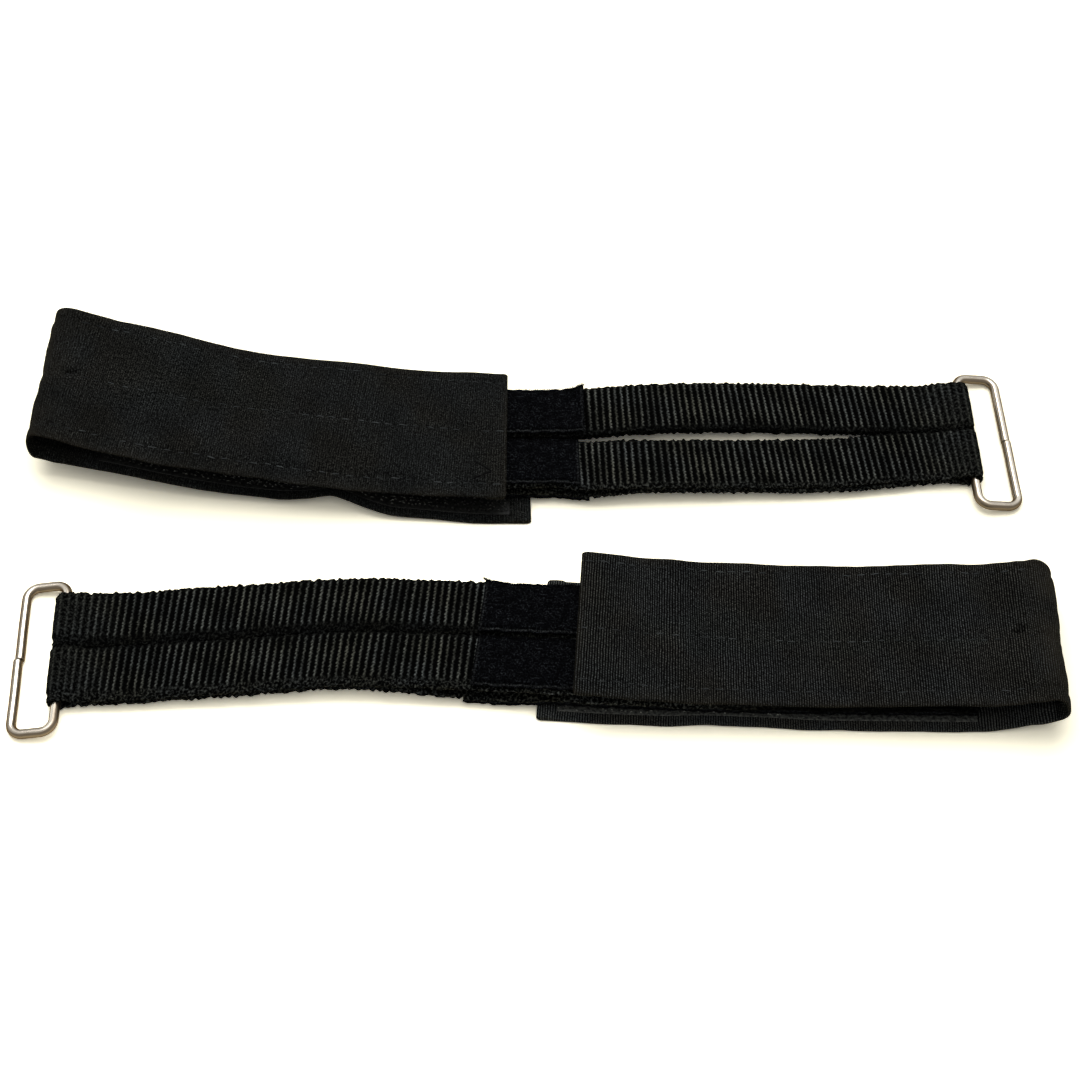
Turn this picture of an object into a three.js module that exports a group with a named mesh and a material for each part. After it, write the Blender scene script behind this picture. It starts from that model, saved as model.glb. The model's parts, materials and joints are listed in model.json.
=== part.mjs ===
// A pair of hook-and-loop straps. Each strap is a rectangular wire ring, two ribbed
// webbing bands looped round one bar of it, soft loop pile sewn on both faces of the bands,
// and a wide fabric cuff folded over them, lined with hook tape. Millimetres, +Z up.
//
// Every layer is first laid out flat on a bench: x runs along the strap from the ring's
// bar to the fold of the cuff, y across it, z up from the middle of the layers. A bend
// then carries it onto the strap's own gentle curve, so layers that are clear of each
// other on the bench stay clear on the strap.

import * as THREE from "three";

// Driving sizes of the ring.
const wireDiameter = 3;
const ringOpeningLength = 50;
const ringOpeningDepth = 10.6;
const ringCornerRadius = 4;
const wireSeam = 0.3;
const wireSides = 10;
const wireSteps = 60;

// Driving sizes of the bands and layers.
const strapLength = 312;
const webbingWidth = 19.3;
const webbingThickness = 1.6;
const webbingSpacing = 0.5;
const tongueInset = 27;
const pileWidth = 18;
const pileThickness = 1;
const hookWidth = 22;
const hookSpacing = 1;
const hookThickness = 0.8;
const cuffWidth = 51;
const cuffShift = 2.5;
const fabricThickness = 1.2;
const hemLength = 6;

// Named clearances, and the way from the ring's bar over which the two runs close up.
const layerGap = 0.3;
const barClearance = 0.3;
const floorClearance = 0.1;
const loopRun = 12;

// Spacing of the cross sections along a band, and how many the loop and the fold have.
const sectionSpacing = 7;
const loopSections = 12;
const runSections = 5;
const foldSections = 7;

// The small step, as a share of the strap's length, over which slopes are measured.
const slopeStepShare = 1e-5;

// Where the two straps stand on the table, measured between their ring bars.
const pairSpan = 293.5;
const pairSpacing = 83.6;

// Heights of the layers, from the middle of the stack out.
const runInner = layerGap / 2;
const runOuter = runInner + webbingThickness;
const pileInner = runOuter + layerGap;
const pileOuter = pileInner + pileThickness;
const hookInner = pileOuter + layerGap;
const hookOuter = hookInner + hookThickness;
const fabricInner = hookOuter + layerGap;
const stackHalf = fabricInner + fabricThickness;

// The loop round the ring's bar, and the height at which it just clears the table.
const wireRadius = wireDiameter / 2;
const loopInner = wireRadius + barClearance;
const loopOuter = loopInner + webbingThickness;
const barHeight = loopOuter + floorClearance;
const bandOffset = (webbingWidth + webbingSpacing) / 2;
const hookOffset = (hookWidth + hookSpacing) / 2;
const tongueEnd = strapLength - tongueInset;

// The places across the strap between which the cuff's free margins are drawn in.
const pinchStart = bandOffset + webbingWidth / 2;
const pinchWidth = (cuffWidth - 2 * pinchStart) / 2;
const pinchPlaces = [pinchStart, pinchStart + pinchWidth / 2, pinchStart + pinchWidth];

// Each strap's own places and curves. Shares along are of the strap's length, and so are
// the shares sideways. Raise and lift are shares of half the stack, bow is a share of the
// webbing's width, pinch is a share of the height, roll is an angle in radians, and skew
// is how far the fold runs along the strap as a share of the place across.
const strapFar = {
  name: "a",
  turn: Math.PI,
  ringShift: 3.3,
  pileStart: { far: 130, near: 128 },
  flapStart: 154.5,
  baseStart: 146.5,
  sidewaysShares: [
    [0, 0], [0.064, 0.0028], [0.233, 0.0062], [0.394, 0.0122], [0.494, 0.0166],
    [0.6, 0.0107], [0.714, -0.001], [0.82, -0.0123], [1, -0.0425],
  ],
  raiseShares: [
    [0, 0], [0.233, 0.07], [0.394, 0.27], [0.494, 0.34], [0.607, 0.46], [0.714, 0.67], [0.82, 1.2], [1, 2.15],
  ],
  baseFollowShares: [[0, 0], [0.6, 0], [0.66, 1], [1, 1]],
  flapLiftShares: [[0, 0], [1, 0]],
  bowShares: [[0, 0], [0.07, 0.008], [0.27, 0.075], [0.41, 0.02], [0.5, 0], [1, 0]],
  pinchShares: [[0, 0], [0.5, 0], [0.63, 0.35], [0.85, 0.2], [1, 0.1]],
  rollAngles: [[0, 0], [0.73, 0], [1, -0.115]],
  skewShares: [[0, 0], [0.9, 0], [1, -0.08]],
};

const strapNear = {
  name: "b",
  turn: 0,
  ringShift: -3.9,
  pileStart: { far: 132.5, near: 129.5 },
  flapStart: 162,
  baseStart: 150.5,
  sidewaysShares: [
    [0, 0], [0.15, 0.005], [0.288, 0.0092], [0.383, 0.0057], [0.473, -0.002],
    [0.575, -0.0084], [0.754, -0.0138], [0.914, -0.016], [1, -0.0179],
  ],
  raiseShares: [
    [0, 0], [0.144, 0.2], [0.288, 0.27], [0.383, 0.16], [0.467, 0], [0.914, 0], [0.967, 0.5], [1, 1.1],
  ],
  baseFollowShares: [[0, 1], [1, 1]],
  flapLiftShares: [[0, 1], [0.5, 0.95], [0.575, 0.62], [0.67, 0.21], [0.76, 0], [1, 0]],
  bowShares: [[0, 0], [1, 0]],
  pinchShares: [[0, 0], [1, 0]],
  rollAngles: [[0, 0], [1, 0]],
  skewShares: [[0, 0], [1, 0]],
};

const colours = {
  ring: { color: 0x8f8579, roughness: 0.35, metalness: 1 },
  webbing: { color: 0x1b1a18, roughness: 0.75, metalness: 0 },
  pile: { color: 0x0d0e12, roughness: 1, metalness: 0 },
  hook: { color: 0x161618, roughness: 0.85, metalness: 0 },
  fabric: { color: 0x131314, roughness: 0.9, metalness: 0 },
};

// A smooth curve through a table of [place, value] that never swings past its points:
// each point's slope is the harmonic mean of the slopes beside it, or level where they
// turn. Past either end the curve runs on straight.
function curveThrough(table) {
  const secants = table.slice(1).map(([x, y], i) => (y - table[i][1]) / (x - table[i][0]));
  const slopes = table.map((point, i) => {
    const before = secants[Math.max(i - 1, 0)];
    const after = secants[Math.min(i, secants.length - 1)];
    return before * after > 0 ? (2 * before * after) / (before + after) : 0;
  });
  return (x) => {
    const last = table.length - 1;
    if (x <= table[0][0]) return table[0][1] + slopes[0] * (x - table[0][0]);
    if (x >= table[last][0]) return table[last][1] + slopes[last] * (x - table[last][0]);
    const i = table.findIndex((point) => point[0] > x) - 1;
    const span = table[i + 1][0] - table[i][0];
    const t = (x - table[i][0]) / span;
    const rise = table[i + 1][1] - table[i][1];
    const bendIn = slopes[i] * span - rise;
    const bendOut = rise - slopes[i + 1] * span;
    return table[i][1] + rise * t + t * (1 - t) * ((1 - t) * bendIn + t * bendOut);
  };
}

// Smooth step from 0 to 1 while x goes from start to end.
const easeBetween = (x, start, end) => THREE.MathUtils.smoothstep(x, start, end);

// The strap's curves as functions of the distance along it, in millimetres.
function strapCurves(strap) {
  const scaled = (table, size) => {
    const curve = curveThrough(table);
    return (x) => curve(x / strapLength) * size;
  };
  const raise = scaled(strap.raiseShares, stackHalf);
  const follow = scaled(strap.baseFollowShares, 1);
  const lift = scaled(strap.flapLiftShares, stackHalf);
  const resting = (x) => barHeight + (stackHalf - barHeight) * easeBetween(x, 0, strap.baseStart);
  return {
    sideways: scaled(strap.sidewaysShares, strapLength),
    bow: scaled(strap.bowShares, webbingWidth),
    pinch: scaled(strap.pinchShares, 1),
    roll: scaled(strap.rollAngles, 1),
    skew: scaled(strap.skewShares, 1),
    tongueHeight: (x) => resting(x) + raise(x),
    baseHeight: (x) => resting(x) + raise(x) * follow(x),
    flapHeight: (x) => resting(x) + raise(x) + lift(x),
  };
}

// The strap's place and directions at distance x along it: the tangent runs along the
// curve, across is level but for the roll, and up is square to both.
function frameAt(curves, height, x) {
  const step = strapLength * slopeStepShare;
  const slope = (curve) => (curve(x + step) - curve(x - step)) / (2 * step);
  const along = new THREE.Vector3(1, slope(curves.sideways), slope(height)).normalize();
  const across = new THREE.Vector3(0, 0, 1).cross(along).normalize();
  across.applyAxisAngle(along, curves.roll(x));
  const up = along.clone().cross(across);
  return { origin: new THREE.Vector3(x, curves.sideways(x), height(x)), along, across, up };
}

// Carries a bench point onto the strap. Past the webbing's edges the height is drawn in
// towards the middle, as the cuff's free margins are.
function carry(curves, height, bench) {
  const { origin, across, up } = frameAt(curves, height, bench.x + curves.skew(bench.x) * bench.y);
  const margin = easeBetween(Math.abs(bench.y), pinchStart, pinchStart + pinchWidth);
  const lowered = bench.z * (1 - curves.pinch(bench.x) * margin);
  return origin.addScaledVector(across, bench.y).addScaledVector(up, lowered);
}

// Bends a bench geometry onto the strap. The shift moves a band sideways before that.
function bend(geometry, curves, height, shift = () => 0) {
  const position = geometry.attributes.position;
  const bench = new THREE.Vector3();
  for (let i = 0; i < position.count; i += 1) {
    bench.fromBufferAttribute(position, i);
    bench.y += shift(bench.x);
    const placed = carry(curves, height, bench);
    position.setXYZ(i, placed.x, placed.y, placed.z);
  }
  geometry.computeVertexNormals();
  return geometry;
}

// Distances along a band from start to end, with even steps of about one section.
function stations(start, end) {
  const count = Math.max(Math.round(Math.abs(end - start) / sectionSpacing), 1);
  return Array.from({ length: count + 1 }, (unused, i) => start + ((end - start) * i) / count);
}

// The edges of a strip and the places between them where the cuff's pinch starts and ends.
function placesAcross(centre, width) {
  const [low, high] = [centre - width / 2, centre + width / 2];
  const marks = [...pinchPlaces.map((place) => -place).reverse(), ...pinchPlaces];
  return [low, ...marks.filter((place) => place > low + layerGap && place < high - layerGap), high];
}

// A band through sections of [outer, inner] points in the plane of length and height. Its
// sections run so that along, across and outwards are right-handed.
function bandThrough(sections, width, centre) {
  const across = placesAcross(centre, width);
  const [count, strips] = [sections.length - 1, across.length - 1];
  const geometry = new THREE.BoxGeometry(1, 1, 1, count, strips, 1);
  const position = geometry.attributes.position;
  for (let i = 0; i < position.count; i += 1) {
    const [outer, inner] = sections[Math.round((position.getX(i) + 1 / 2) * count)];
    const point = position.getZ(i) > 0 ? outer : inner;
    position.setXYZ(i, point.x, across[Math.round((position.getY(i) + 1 / 2) * strips)], point.y);
  }
  return geometry;
}

// A flat strip on the bench, from start to end, between two heights.
function flatStrip(start, end, centre, width, low, high) {
  const sections = stations(start, end).map((x) => [new THREE.Vector2(x, high), new THREE.Vector2(x, low)]);
  return bandThrough(sections, width, centre);
}

// One band of webbing: a lower and an upper run joined by the loop round the bar, which
// opens out from the closed runs over the loop's own length.
function webbingSections() {
  const open = (x) => (loopInner - runInner) * (1 - easeBetween(x, 0, loopRun));
  const nearBar = Array.from({ length: runSections }, (unused, i) => (loopRun * (i + 1)) / runSections);
  const places = [...nearBar, ...stations(loopRun, tongueEnd).slice(1)];
  const run = (sign) =>
    places.map((x) => [runOuter, runInner].map((level) => new THREE.Vector2(x, sign * (level + open(x)))));
  const turn = Array.from({ length: loopSections + 1 }, (unused, i) => {
    const angle = -Math.PI / 2 - (Math.PI * i) / loopSections;
    return [loopOuter, loopInner].map((r) => new THREE.Vector2(r * Math.cos(angle), r * Math.sin(angle)));
  });
  return [...run(-1).reverse(), ...turn, ...run(1)];
}

// Half of the cuff's fabric band, the flap above (sign 1) or the base below (sign -1):
// a turned-in hem at its free end, a flat length, and a quarter of the fold.
function cuffSections(start, sign) {
  const foldStart = strapLength - stackHalf;
  const flat = (from, to, inner) =>
    stations(from, to).map((x) => [stackHalf, inner].map((level) => new THREE.Vector2(x, level)));
  const fold = Array.from({ length: foldSections }, (unused, i) =>
    [stackHalf, fabricInner].map((radius) => {
      const end = Math.asin(layerGap / 2 / radius);
      const angle = Math.PI / 2 + ((end - Math.PI / 2) * (i + 1)) / foldSections;
      return new THREE.Vector2(foldStart + radius * Math.cos(angle), radius * Math.sin(angle));
    }),
  );
  const hemEnd = start + hemLength;
  const sections = [
    ...flat(start, hemEnd, hookInner),
    ...flat(hemEnd + layerGap, foldStart, fabricInner),
    ...fold,
  ];
  if (sign > 0) return sections;
  return sections.map((section) => section.map((point) => new THREE.Vector2(point.x, -point.y))).reverse();
}

// The ring's wire as a curve: once round the rounded rectangle, from one side of the seam
// in the middle of the outer bar to the other side. The inner bar lies along y at x = 0.
class RingWire extends THREE.Curve {
  constructor() {
    super();
    const depth = ringOpeningDepth + wireDiameter;
    const half = (ringOpeningLength + wireDiameter) / 2;
    const r = ringCornerRadius;
    this.path = new THREE.Path();
    this.path.moveTo(-depth, wireSeam / 2);
    this.path.lineTo(-depth, half - r);
    this.path.absarc(r - depth, half - r, r, Math.PI, Math.PI / 2, true);
    this.path.lineTo(-r, half);
    this.path.absarc(-r, half - r, r, Math.PI / 2, 0, true);
    this.path.lineTo(0, r - half);
    this.path.absarc(-r, r - half, r, 0, -Math.PI / 2, true);
    this.path.lineTo(r - depth, -half);
    this.path.absarc(r - depth, r - half, r, -Math.PI / 2, -Math.PI, true);
    this.path.lineTo(-depth, -wireSeam / 2);
  }

  getPoint(t, target = new THREE.Vector3()) {
    const point = this.path.getPointAt(t);
    return target.set(point.x, point.y, 0);
  }
}

function ringGeometry() {
  const section = new THREE.Shape();
  section.absarc(0, 0, wireRadius, 0, 2 * Math.PI);
  const options = {
    steps: wireSteps,
    extrudePath: new RingWire(),
    curveSegments: wireSides / 2,
    bevelEnabled: false,
  };
  return new THREE.ExtrudeGeometry(section, options);
}

function piece(name, geometry, look) {
  const mesh = new THREE.Mesh(geometry, new THREE.MeshStandardMaterial(look));
  mesh.name = name;
  return mesh;
}

// The ring lies on the table with its outer bar, so it hangs down a little from the loops.
function ring(strap, curves) {
  const { origin, across } = frameAt(curves, curves.tongueHeight, 0);
  const mesh = piece(`ring_${strap.name}`, ringGeometry(), colours.ring);
  const drop = origin.z - wireRadius - floorClearance / 2;
  const tilt = Math.asin(drop / (ringOpeningDepth + wireDiameter));
  const yaw = Math.atan2(across.y, across.x) - Math.PI / 2;
  mesh.position.copy(origin).addScaledVector(across, strap.ringShift);
  mesh.rotation.set(0, -tilt, yaw, "ZYX");
  return mesh;
}

// The cuff's two halves, split at the fold, and the hook tape that lines each of them.
function cuff(strap, curves, sides) {
  const halves = [
    { part: "flap", start: strap.flapStart, sign: 1, height: curves.flapHeight },
    { part: "base", start: strap.baseStart, sign: -1, height: curves.baseHeight },
  ];
  return halves.flatMap(({ part, start, sign, height }) => {
    const band = bandThrough(cuffSections(start, sign), cuffWidth, cuffShift);
    const hooks = sides.map(({ label, hand }) => {
      const [low, high] = [sign * hookInner, sign * hookOuter].sort((a, b) => a - b);
      const hookStart = start + hemLength + layerGap;
      const centre = cuffShift + hand * hookOffset;
      const strip = flatStrip(hookStart, tongueEnd, centre, hookWidth, low, high);
      return piece(`hook_${part}_${label}_${strap.name}`, bend(strip, curves, height), colours.hook);
    });
    return [piece(`cuff_${part}_${strap.name}`, bend(band, curves, height), colours.fabric), ...hooks];
  });
}

// One webbing band with the soft pile on its upper and lower faces.
function band(strap, curves, { label, hand }) {
  const height = curves.tongueHeight;
  const centre = hand * bandOffset;
  const shift = (x) => hand * curves.bow(x);
  const webbing = bandThrough(webbingSections(), webbingWidth, centre);
  const start = strap.pileStart[label];
  const top = flatStrip(start, tongueEnd, centre, pileWidth, pileInner, pileOuter);
  const under = flatStrip(start, tongueEnd, centre, pileWidth, -pileOuter, -pileInner);
  return [
    piece(`webbing_${label}_${strap.name}`, bend(webbing, curves, height, shift), colours.webbing),
    piece(`pile_top_${label}_${strap.name}`, bend(top, curves, height, shift), colours.pile),
    piece(`pile_under_${label}_${strap.name}`, bend(under, curves, height, shift), colours.pile),
  ];
}

// A whole strap, standing with its ring bar at the group's origin.
function wholeStrap(strap) {
  const curves = strapCurves(strap);
  const farHand = Math.round(Math.cos(strap.turn));
  const sides = [
    { label: "far", hand: farHand },
    { label: "near", hand: -farHand },
  ];
  const group = new THREE.Group();
  const bands = sides.flatMap((side) => band(strap, curves, side));
  group.add(ring(strap, curves), ...bands, ...cuff(strap, curves, sides));
  group.rotation.z = strap.turn;
  const pivot = (height, x) => {
    const { origin, along, across } = frameAt(curves, height, x);
    return { point: origin, axis: across.addScaledVector(along, curves.skew(x)).normalize() };
  };
  // The ring swings about its inner bar, and the flap about the crest of the fold.
  group.userData.pivots = {
    [`ring_${strap.name}_swing`]: pivot(curves.tongueHeight, 0),
    [`flap_${strap.name}_open`]: pivot(curves.flapHeight, strapLength),
  };
  return group;
}

// The two straps lie head to tail. The origin is under the middle of the pair.
const far = wholeStrap(strapFar);
far.position.set(pairSpan / 2, pairSpacing / 2, 0);
const near = wholeStrap(strapNear);
near.position.set(-pairSpan / 2, -pairSpacing / 2, 0);

const pair = new THREE.Group();
pair.add(far, near);
pair.updateMatrixWorld(true);
const box = new THREE.Box3().setFromObject(pair, true);
const centre = box.getCenter(new THREE.Vector3());
pair.position.set(-centre.x, -centre.y, -box.min.z);

export default pair;
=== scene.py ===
"""Two hook-and-loop cuff straps on wire rings, lying head to tail on a white table.

Everything soft is worked out flat on a bench first, in millimetres: x runs along the strap
from the ring's bar to the fold of the cuff, y across it, and z up from the middle of the
layers. carry() then bends it onto the strap's own curve and turns it into metres.
"""
import json
import math
import bpy
import bmesh
import numpy as np
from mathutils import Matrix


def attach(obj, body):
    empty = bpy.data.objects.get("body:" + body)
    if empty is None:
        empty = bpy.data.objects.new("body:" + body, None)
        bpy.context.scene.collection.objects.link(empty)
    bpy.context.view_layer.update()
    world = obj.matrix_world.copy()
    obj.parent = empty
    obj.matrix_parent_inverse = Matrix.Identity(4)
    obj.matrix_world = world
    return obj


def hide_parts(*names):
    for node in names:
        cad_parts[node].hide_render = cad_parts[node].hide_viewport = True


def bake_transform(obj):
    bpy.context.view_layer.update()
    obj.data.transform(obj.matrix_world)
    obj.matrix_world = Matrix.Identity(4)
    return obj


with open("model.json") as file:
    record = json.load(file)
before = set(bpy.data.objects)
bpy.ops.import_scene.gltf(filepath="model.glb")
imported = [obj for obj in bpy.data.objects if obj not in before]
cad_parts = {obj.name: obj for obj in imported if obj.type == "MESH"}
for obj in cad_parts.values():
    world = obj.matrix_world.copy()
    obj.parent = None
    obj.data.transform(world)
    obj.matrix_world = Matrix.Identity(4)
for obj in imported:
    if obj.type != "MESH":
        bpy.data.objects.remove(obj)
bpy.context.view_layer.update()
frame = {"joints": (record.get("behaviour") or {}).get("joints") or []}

# The camera stands where the photograph was taken from. Millimetres, degrees and pixels.
MM = 0.001
camera_place = (4.2, -366.6, 543.2)
camera_pitch = 56.1
frame_pixels = 1080
focal_pixels = 2000
sensor_width = 36

camera_data = bpy.data.cameras.new("camera")
camera_data.sensor_width = sensor_width
camera_data.lens = sensor_width * focal_pixels / frame_pixels
camera = bpy.data.objects.new("camera", camera_data)
camera.location = [value * MM for value in camera_place]
camera.rotation_euler = (math.radians(90 - camera_pitch), 0, 0)
bpy.context.scene.collection.objects.link(camera)
bpy.context.scene.camera = camera

# Sizes of the straps and their layers, as the construction has them.
wire_diameter = 3
ring_opening_length = 50
ring_opening_depth = 10.6
ring_corner_radius = 4
wire_seam = 0.07
strap_length = 312
webbing_width = 19.3
webbing_thickness = 1.6
webbing_spacing = 0.5
tongue_inset = 27
pile_width = 18
pile_thickness = 1
hook_width = 22
hook_spacing = 1
hook_thickness = 0.8
cuff_width = 51
cuff_shift = 2.5
fabric_thickness = 1.2
hem_length = 6
layer_gap = 0.3
bar_clearance = 0.3
floor_clearance = 0.1
loop_run = 12

# Heights of the layers, from the middle of the stack out.
run_inner = layer_gap / 2
run_outer = run_inner + webbing_thickness
pile_inner = run_outer + layer_gap
pile_outer = pile_inner + pile_thickness
hook_inner = pile_outer + layer_gap
hook_outer = hook_inner + hook_thickness
fabric_inner = hook_outer + layer_gap
fabric_middle = fabric_inner + fabric_thickness / 2
stack_half = fabric_inner + fabric_thickness
wire_radius = wire_diameter / 2
loop_inner = wire_radius + bar_clearance
loop_middle = loop_inner + webbing_thickness / 2
bar_height = loop_inner + webbing_thickness + floor_clearance
band_offset = (webbing_width + webbing_spacing) / 2
hook_offset = (hook_width + hook_spacing) / 2
tongue_end = strap_length - tongue_inset
fold_start = strap_length - stack_half
pinch_start = band_offset + webbing_width / 2
pinch_width = (cuff_width - 2 * pinch_start) / 2

# The real sizes of the finishes, in millimetres.
webbing_rib = 2.24
webbing_yarn = 1.35
cuff_rib = 0.76
cuff_yarn = 0.85
stitch_pitch = 4.6
stitch_length = 2.6
thread_radius = 0.17
# The hooks are drawn coarser than real ones, so that they show.
hook_pitch = 1.4
hook_height = 0.75
pile_selvage = 0.35
pile_shown = 36
rib_depth = 0.55


def curve_through(table):
    """Monotone cubic through a table of (place, value): a point's slope is the harmonic
    mean of the slopes beside it, or level at a turn, and both ends run on straight."""
    places, values = np.array(table, float).T
    spans, rises = np.diff(places), np.diff(values)
    before = np.r_[rises[:1] / spans[:1], rises / spans]
    after = np.r_[rises / spans, rises[-1:] / spans[-1:]]
    both = before * after > 0
    slopes = np.where(both, 2 * before * after / np.where(both, before + after, 1), 0)

    def curve(x):
        i = np.clip(np.searchsorted(places, x, side="right") - 1, 0, len(spans) - 1)
        t = (np.clip(x, places[0], places[-1]) - places[i]) / spans[i]
        bend_in = slopes[i] * spans[i] - rises[i]
        bend_out = rises[i] - slopes[i + 1] * spans[i]
        inside = values[i] + rises[i] * t + t * (1 - t) * ((1 - t) * bend_in + t * bend_out)
        return inside + slopes[0] * np.minimum(x - places[0], 0) + slopes[-1] * np.maximum(x - places[-1], 0)

    return curve


def ease(x, start, end):
    """Smooth step from 0 to 1 while x goes from start to end."""
    t = np.clip((np.asarray(x, float) - start) / (end - start), 0, 1)
    return t * t * (3 - 2 * t)


def bell(x, width):
    """Bell curve: 1 at x = 0, and 0.37 at a width to either side."""
    return np.exp(-(x / width) ** 2)


def quarter_round(share):
    """Height of a quarter circle, from 0 at its foot to 1 from its top on."""
    return np.sqrt(np.clip(1 - (1 - np.minimum(share, 1)) ** 2, 0, 1))


def round_rows(length, count):
    """Places from 0 to length that crowd towards 0, as points round a quarter circle do."""
    return length * (1 - np.cos(np.linspace(0, np.pi / 2, count)))


def ripple(seed, size, x, y):
    """Smooth unevenness, mostly between -1 and 1: a third of the sum of six sine waves with
    their own fixed directions and phases, whose wavelengths lie round the given size."""
    random = np.random.default_rng(seed)
    total = 0
    for _ in range(6):
        heading, phase = random.uniform(0, 2 * np.pi, 2)
        wavelength = size * random.uniform(0.7, 1.5)
        along = x * np.cos(heading) + y * np.sin(heading)
        total = total + np.sin(2 * np.pi * along / wavelength + phase)
    return total / 3


class Strap:
    """One strap: where its ring bar stands on the table, which way it runs, its own numbers,
    and the curves that it lies in, as functions of the distance along it in millimetres."""

    def __init__(self, name, hand, own, tables):
        self.name, self.hand = name, hand
        for key, value in own.items():
            setattr(self, key, value)
        pivot = next(j["pos_m"] for j in frame["joints"] if j["name"] == f"ring_{name}_swing")
        self.anchor = np.array(pivot[:2]) / MM

        def scaled(key, size):
            curve = curve_through(tables.get(key, [(0, 0), (1, 0)]))
            return lambda x: curve(np.asarray(x, float) / strap_length) * size

        raised, follow, lift = scaled("raise", stack_half), scaled("follow", 1), scaled("lift", stack_half)
        resting = lambda x: bar_height + (stack_half - bar_height) * ease(x, 0, self.base_start)
        self.sideways = scaled("sideways", strap_length)
        self.bow = {"far": scaled("bow_far", webbing_width), "near": scaled("bow_near", webbing_width)}
        for key in ("sag", "spill", "base_sway", "tuck", "far_curl", "pinch", "roll", "skew"):
            setattr(self, key, scaled(key, 1))
        self.tongue_height = lambda x: resting(x) + raised(x)
        self.base_height = lambda x: resting(x) + raised(x) * follow(x)
        self.flap_height = lambda x: resting(x) + raised(x) + lift(x)


# A strap's own numbers. In millimetres: how far the ring sits off the middle of its loops,
# where pile, flap and base start, the rows of stitches, the pucker in the flap, the width of
# the knotted selvage, how far each end of the wire is out of line, how far past the flap's
# start the webbings are painted into shade, and between which places the hooks are. As shares:
# how far the fold stands out, how much its edge is drawn in, how rubbed the cloths are, and
# their tone with painted light and shade.
#
# The curves give shares of the strap's length, of half the stack, of the webbing's width or
# of a height, angles in radians, and millimetres for sag, spill, sway, tuck and curl. The
# sag is how far the lower run of the webbings hangs from the upper, the spill how far its
# near edge stands out, the sway how far the cuff's base is off the stack, the tuck how far
# the flap's near margin is drawn in, and the curl how far its far margin stands up. A curve
# that isn't given is level.
strap_far = Strap("a", -1, {
    "ring_shift": 3.3, "pile_start": {"far": 128.2, "near": 131.2}, "flap_start": 154.5, "base_start": 147.3,
    "rows": (-18.6, 1.5, 22.9), "pucker": (299.4, 0.5), "selvage": 1.6, "wire_miss": 0.12,
    "webbing_dark": 22, "hooks_dark": (250, 285), "fold_reach": 0.6, "fold_drawn": 0.13, "rubbed": 0.5,
    "cuff_pale": {"flap": 0.5, "fold": 0.5, "base": 0.575}, "webbing_pale": 1.0, "mouth_pale": 0.3,
    "tape_pale": 0.04,
}, {
    "sideways": [
        (0, 0), (0.064, 0.0028), (0.233, 0.0062), (0.394, 0.0122), (0.494, 0.0166),
        (0.6, 0.0107), (0.714, -0.001), (0.82, -0.0123), (1, -0.0425),
    ],
    "raise": [
        (0, 0), (0.233, 0.07), (0.394, 0.27), (0.494, 0.34), (0.607, 0.5), (0.667, 0.68), (0.714, 0.72),
        (0.765, 0.87), (0.82, 1.2), (0.863, 1.6), (0.896, 1.83), (0.929, 2.02), (0.962, 2.4), (1, 2.75),
    ],
    "follow": [
        (0, 0), (0.6, 0), (0.635, 0.6), (0.667, 1.12), (0.7, 0.48), (0.732, 0.24), (0.765, 0.3),
        (0.798, 0.52), (0.83, 0.7), (0.863, 0.825), (0.896, 0.89), (0.929, 0.86), (0.962, 0.77), (1, 0.84),
    ],
    "bow_far": [
        (0, 0), (0.07, 0.008), (0.27, 0.075), (0.35, 0.04), (0.4, -0.025), (0.43, -0.05), (0.47, -0.04),
        (0.52, -0.02), (0.58, 0), (1, 0),
    ],
    "bow_near": [
        (0, 0), (0.07, 0.01), (0.096, 0.04), (0.14, 0.11), (0.192, 0.15), (0.27, 0.155), (0.35, 0.145),
        (0.41, 0.165), (0.44, 0.1), (0.48, 0.08), (0.64, 0.016), (0.8, 0), (1, 0),
    ],
    "sag": [
        (0, 0), (0.33, 0), (0.39, 1.1), (0.43, 2.2), (0.46, 2.2), (0.482, 1.7), (0.6, 1.7), (0.65, 0), (1, 0),
    ],
    "spill": [(0, 0), (0.02, 0), (0.09, 0.9), (0.3, 0.5), (0.4, 0.6), (0.46, 0), (1, 0)],
    "base_sway": [
        (0, 2.1), (0.605, 2.1), (0.63, 1.1), (0.65, -0.4), (0.675, -1.2), (0.7, -0.4), (0.73, 0), (1, 0),
    ],
    "tuck": [(0, 0), (0.7, 0), (0.77, 0.4), (0.843, 1.0), (0.913, 2.0), (0.976, 2.2), (1, 1.6)],
    "pinch": [(0, 0), (0.5, 0), (0.63, 0.35), (0.85, 0.2), (1, 0.1)],
    "roll": [
        (0, 0), (0.6, -0.005), (0.667, -0.022), (0.72, -0.01), (0.765, -0.006), (0.8, -0.025), (0.83, -0.06),
        (0.863, -0.11), (0.896, -0.132), (0.929, -0.13), (0.962, -0.134), (1, -0.14),
    ],
    "skew": [
        (0, 0), (0.045, -0.06), (0.09, -0.1), (0.19, -0.1), (0.3, -0.05), (0.39, 0), (0.9, 0), (1, -0.1),
    ],
})
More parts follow.
